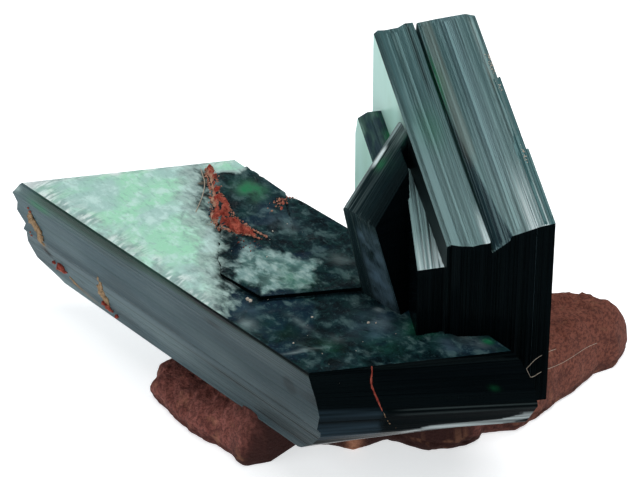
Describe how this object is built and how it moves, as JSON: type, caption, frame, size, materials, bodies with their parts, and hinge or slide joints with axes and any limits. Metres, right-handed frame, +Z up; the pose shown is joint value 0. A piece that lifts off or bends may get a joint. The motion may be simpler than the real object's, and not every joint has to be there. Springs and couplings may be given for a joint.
{
  "type": "vivianite crystal specimen",
  "caption": "Dark green vivianite blades grown together, one lying flat and one standing, on a loose piece of red-brown rock with rusty crusts.",
  "frame": {"origin": "centre of the bounding box in plan, on the surface that the rock rests on", "axes": "+Z up; +X to the right along the specimen's length, with the large blade's tip at -X; +Y away from the side that the picture shows"},
  "size_m": [0.0679, 0.0442, 0.0445],
  "materials": {
    "crystal": "glassy dark blue-green with fine growth lines, pearly pale green on its cleavage faces",
    "rock": "dull rough red-brown stone",
    "oxide": "dry crumbly rust-red crust with tan margins"
  },
  "bodies": {
    "root": {"crystal_cluster": "crystal", "matrix": "rock", "oxide_crust": "oxide", "oxide_fleck": "oxide"}
  },
  "joints": []
}
